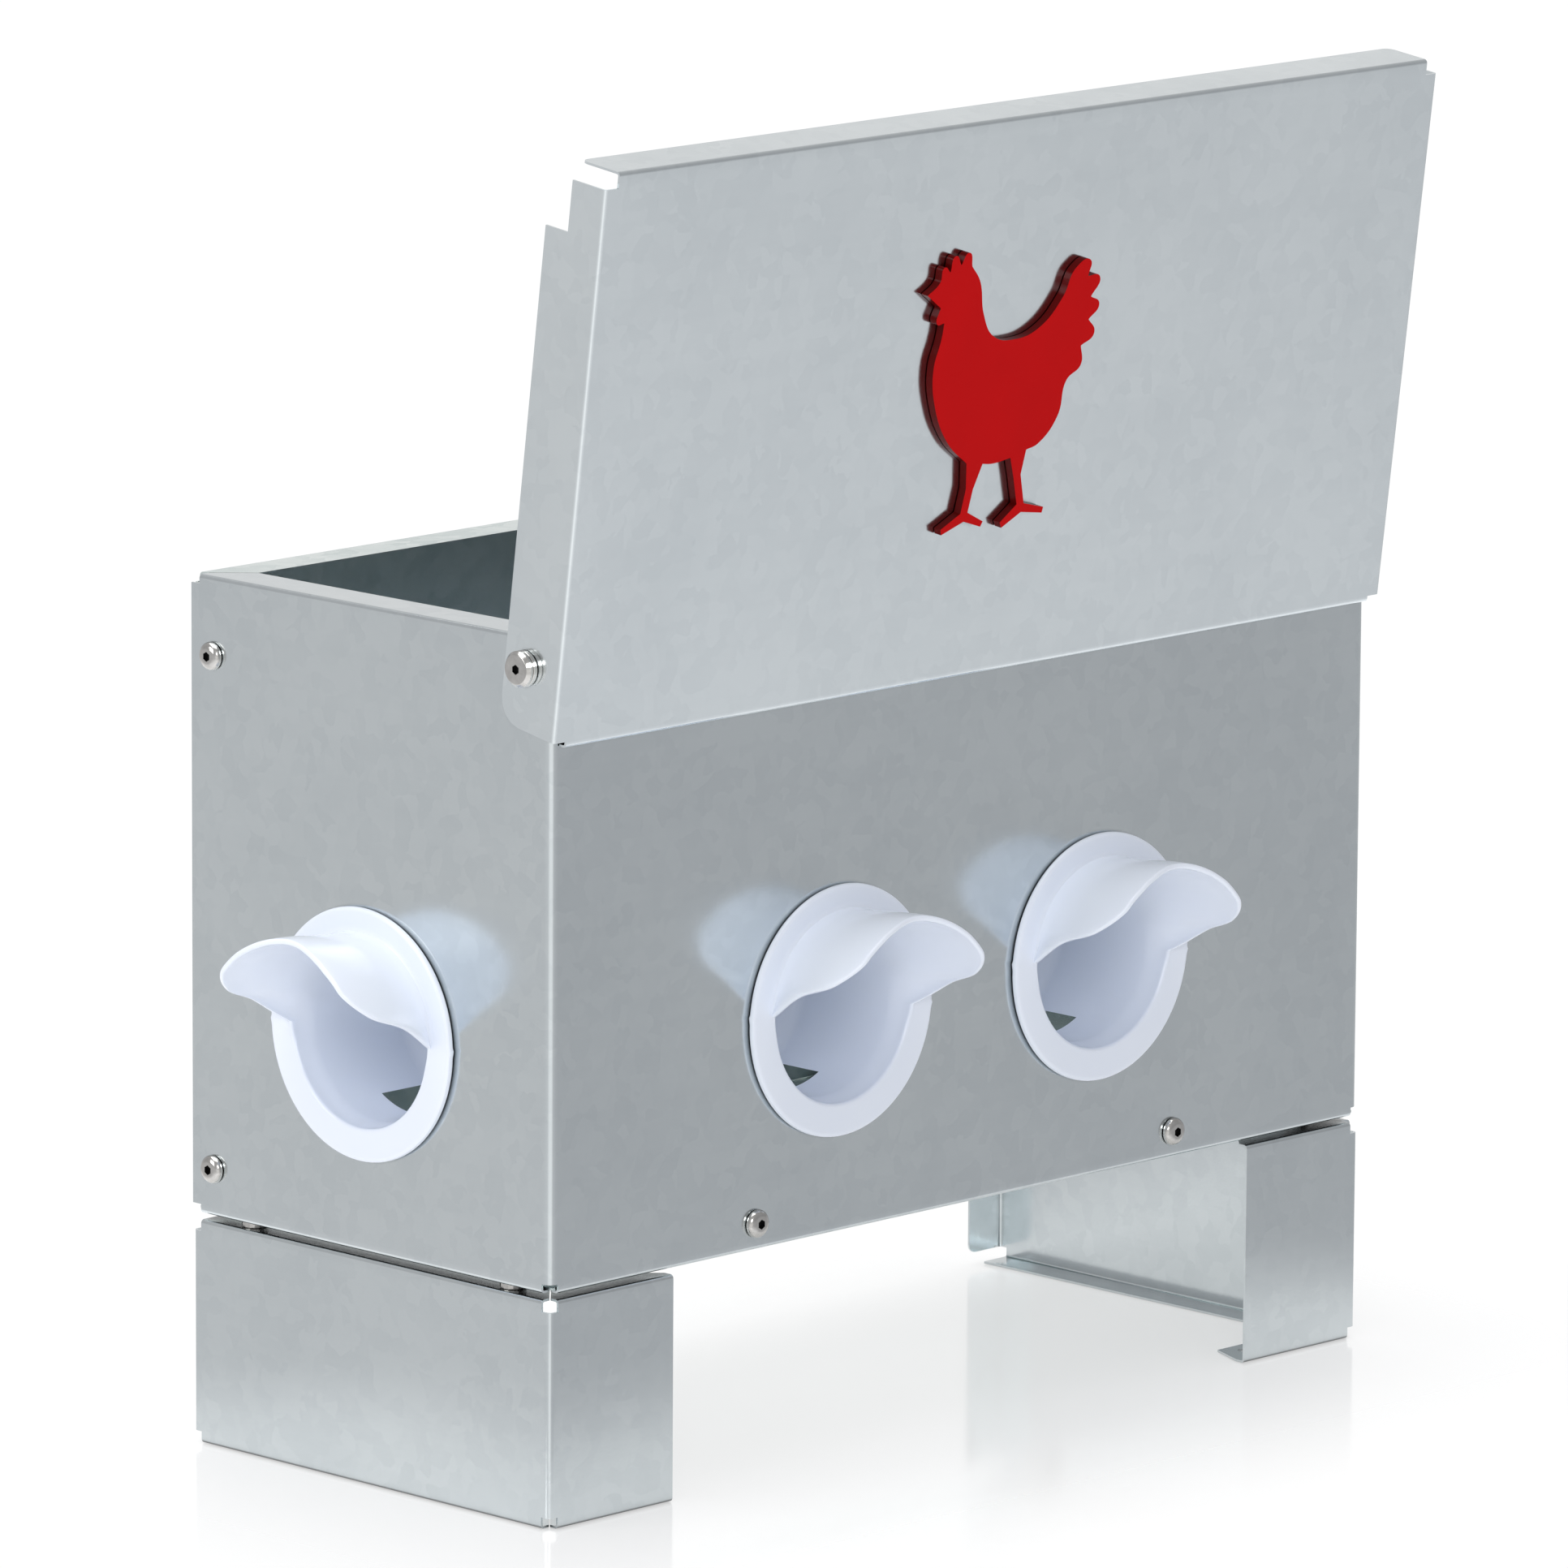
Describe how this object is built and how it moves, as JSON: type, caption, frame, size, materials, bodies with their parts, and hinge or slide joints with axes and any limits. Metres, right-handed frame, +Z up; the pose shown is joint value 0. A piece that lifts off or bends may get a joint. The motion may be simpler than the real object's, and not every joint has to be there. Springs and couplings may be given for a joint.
{
  "type": "gravity poultry feeder",
  "caption": "Folded sheet-metal hopper on two folded legs, with a hinged lid and round feed ports, each under a moulded rain visor.",
  "frame": {"origin": "on the floor, under the middle of the bounding box with the lid open", "axes": "+X along the front wall to the right as seen from the front, +Y from the front wall with the two ports to the back, +Z up"},
  "size_m": [0.4788, 0.2164, 0.4621],
  "materials": {
    "galvanised_sheet": "satin galvanised zinc with faint spangle",
    "white_plastic": "satin gloss white moulding",
    "stainless_steel": "bright turned stainless steel",
    "red_acrylic": "gloss",
    "black_nylon": "matt"
  },
  "bodies": {
    "box": {"front_and_ends": "galvanised_sheet", "back_panel": "galvanised_sheet", "floor_pan": "galvanised_sheet", "left_leg": "galvanised_sheet", "right_leg": "galvanised_sheet", "port_front_left": "white_plastic", "port_front_left_ring": "white_plastic", "port_front_right": "white_plastic", "port_front_right_ring": "white_plastic", "port_left_end": "white_plastic", "port_left_end_ring": "white_plastic", "port_right_end": "white_plastic", "port_right_end_ring": "white_plastic", "front_left_bolt": "stainless_steel", "front_left_nut": "stainless_steel", "front_right_bolt": "stainless_steel", "front_right_nut": "stainless_steel", "back_left_bolt": "stainless_steel", "back_left_nut": "stainless_steel", "back_right_bolt": "stainless_steel", "back_right_nut": "stainless_steel", "left_end_upper_bolt": "stainless_steel", "left_end_upper_nut": "stainless_steel", "left_end_lower_bolt": "stainless_steel", "left_end_lower_nut": "stainless_steel", "left_leg_front_bolt": "stainless_steel", "left_leg_front_rivet_nut": "stainless_steel", "left_leg_back_bolt": "stainless_steel", "left_leg_back_rivet_nut": "stainless_steel", "left_pivot_bolt": "stainless_steel", "left_pivot_disc": "stainless_steel", "left_pivot_nut": "stainless_steel", "right_end_upper_bolt": "stainless_steel", "right_end_upper_nut": "stainless_steel", "right_end_lower_bolt": "stainless_steel", "right_end_lower_nut": "stainless_steel", "right_leg_front_bolt": "stainless_steel", "right_leg_front_rivet_nut": "stainless_steel", "right_leg_back_bolt": "stainless_steel", "right_leg_back_rivet_nut": "stainless_steel", "right_pivot_bolt": "stainless_steel", "right_pivot_disc": "stainless_steel", "right_pivot_nut": "stainless_steel", "left_pivot_spacer": "black_nylon", "right_pivot_spacer": "black_nylon"},
    "lid": {"lid": "galvanised_sheet", "hen_emblem": "red_acrylic"}
  },
  "joints": [
    {"name": "lid_hinge", "type": "hinge", "parent": "box", "child": "lid", "pos_m": [0, -0.0593, 0.2917], "axis": [1, 0, 0], "range_deg": [-98.6, 0]}
  ]
}
